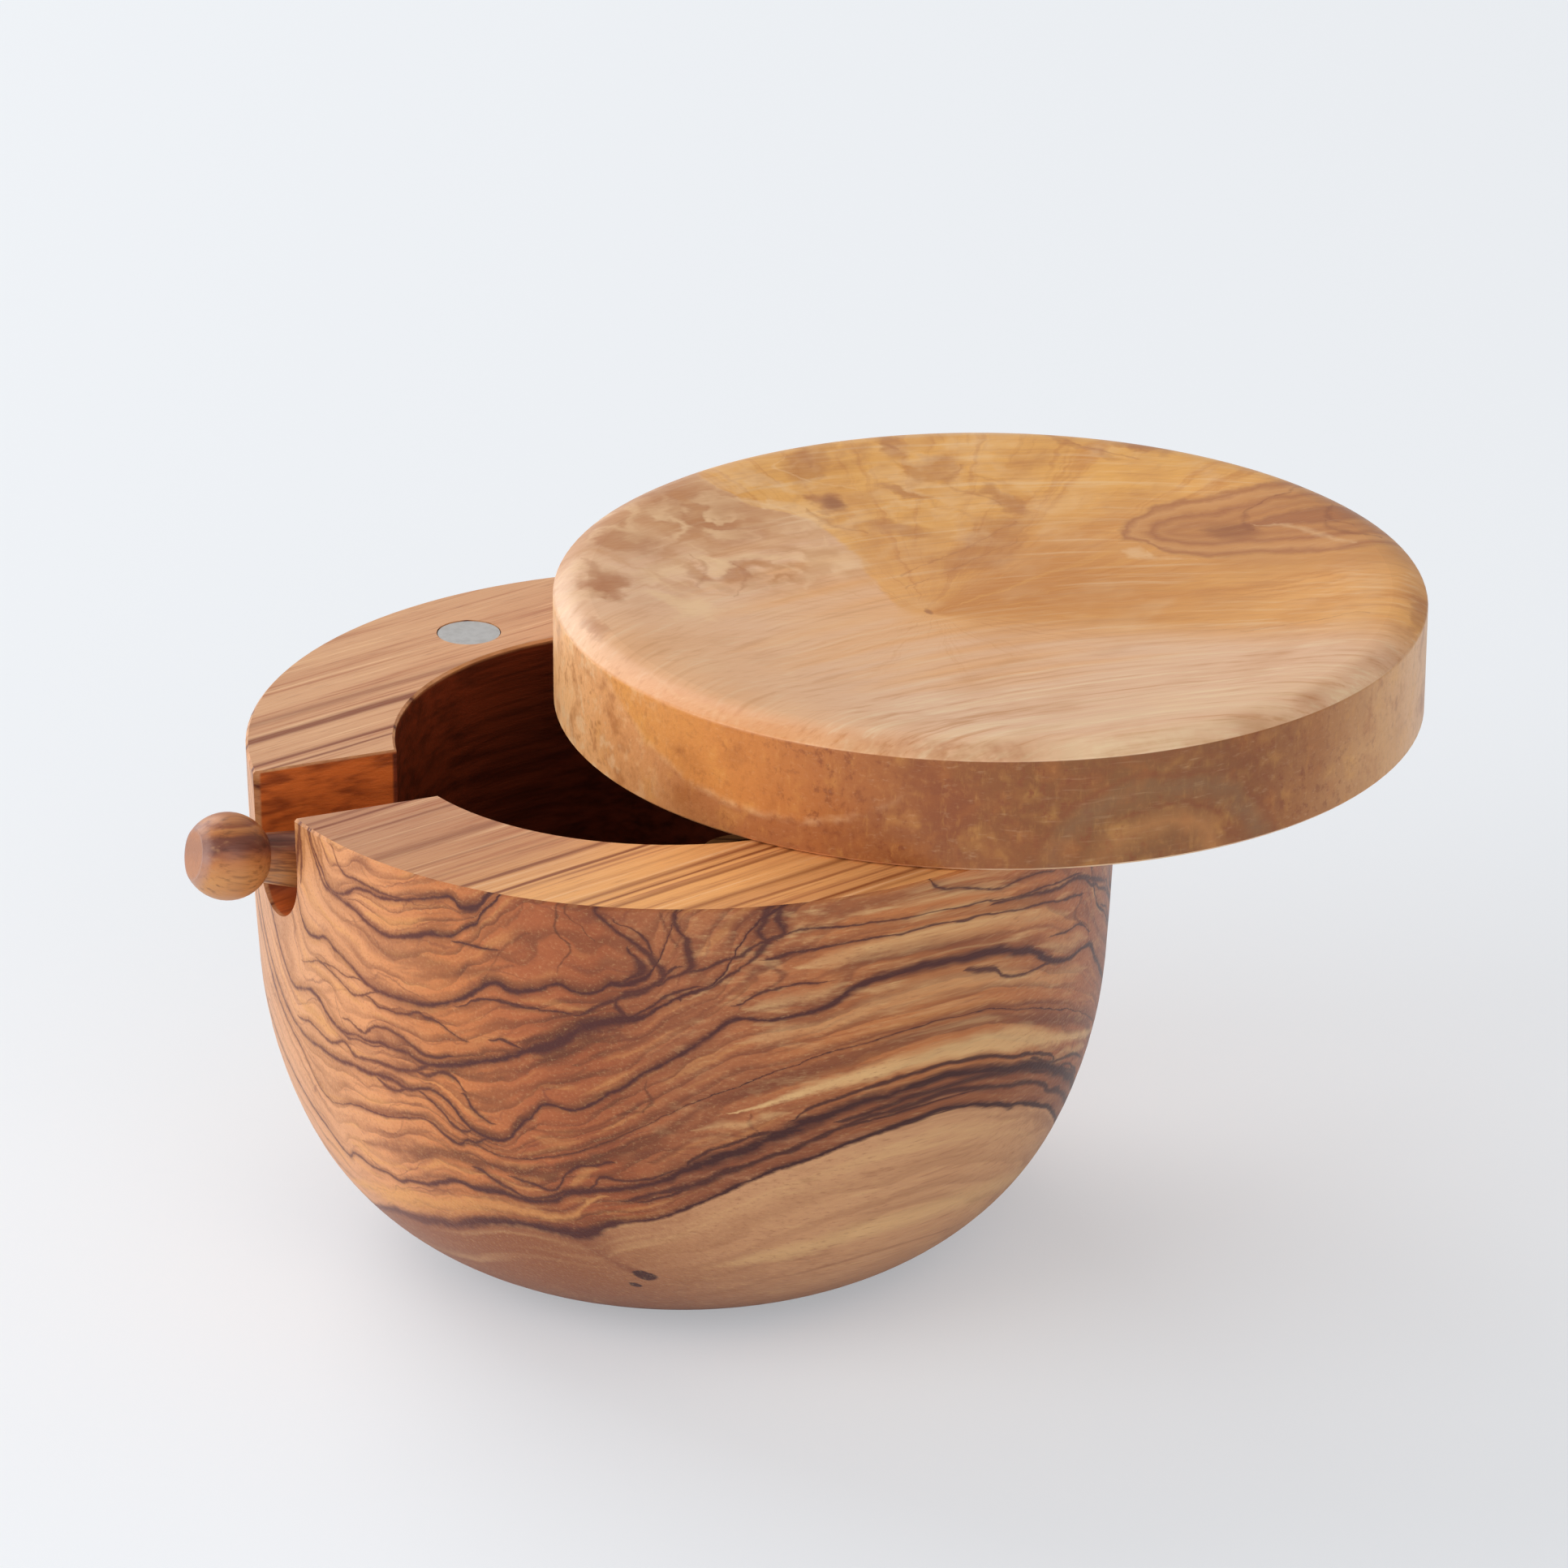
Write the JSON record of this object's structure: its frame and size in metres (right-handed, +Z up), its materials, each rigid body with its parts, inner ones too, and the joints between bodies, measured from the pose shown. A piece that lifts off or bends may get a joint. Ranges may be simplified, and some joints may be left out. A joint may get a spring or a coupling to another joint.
{
  "type": "salt box",
  "caption": "Round turned wooden salt box: thick-walled bowl, dished lid that swivels on an upright steel pin with a magnetic catch, and a ball-ended spoon in a notch.",
  "frame": {"origin": "centre of the flat underside of the bowl, on the bowl's axis", "axes": "+Z up along the bowl's axis, -Y out through the middle of the spoon notch"},
  "size_m": [0.1124, 0.1584, 0.0821],
  "materials": {
    "bowl_wood": "oiled olive wood, satin, dark brown figure",
    "lid_wood": "oiled olive wood, satin, paler and softly mottled",
    "spoon_wood": "oiled olive wood, satin",
    "steel": "plain drawn pin",
    "magnet_plating": "nickel-plated disc, dull"
  },
  "bodies": {
    "body": {"bowl": "bowl_wood", "pivot_pin": "steel", "rim_magnet": "magnet_plating"},
    "lid": {"lid": "lid_wood", "lid_magnet": "magnet_plating"},
    "spoon": {"spoon": "spoon_wood"}
  },
  "joints": [
    {"name": "lid_swivel", "type": "hinge", "parent": "body", "child": "lid", "pos_m": [0.04105, 0.01584, 0.0664], "axis": [0, 0, 1], "range_deg": [-126.2, 53.8]},
    {"name": "spoon_slide", "type": "slide", "parent": "body", "child": "spoon", "axis": [0, -0.9781, 0.2079], "range_m": [0, 0.036]}
  ]
}
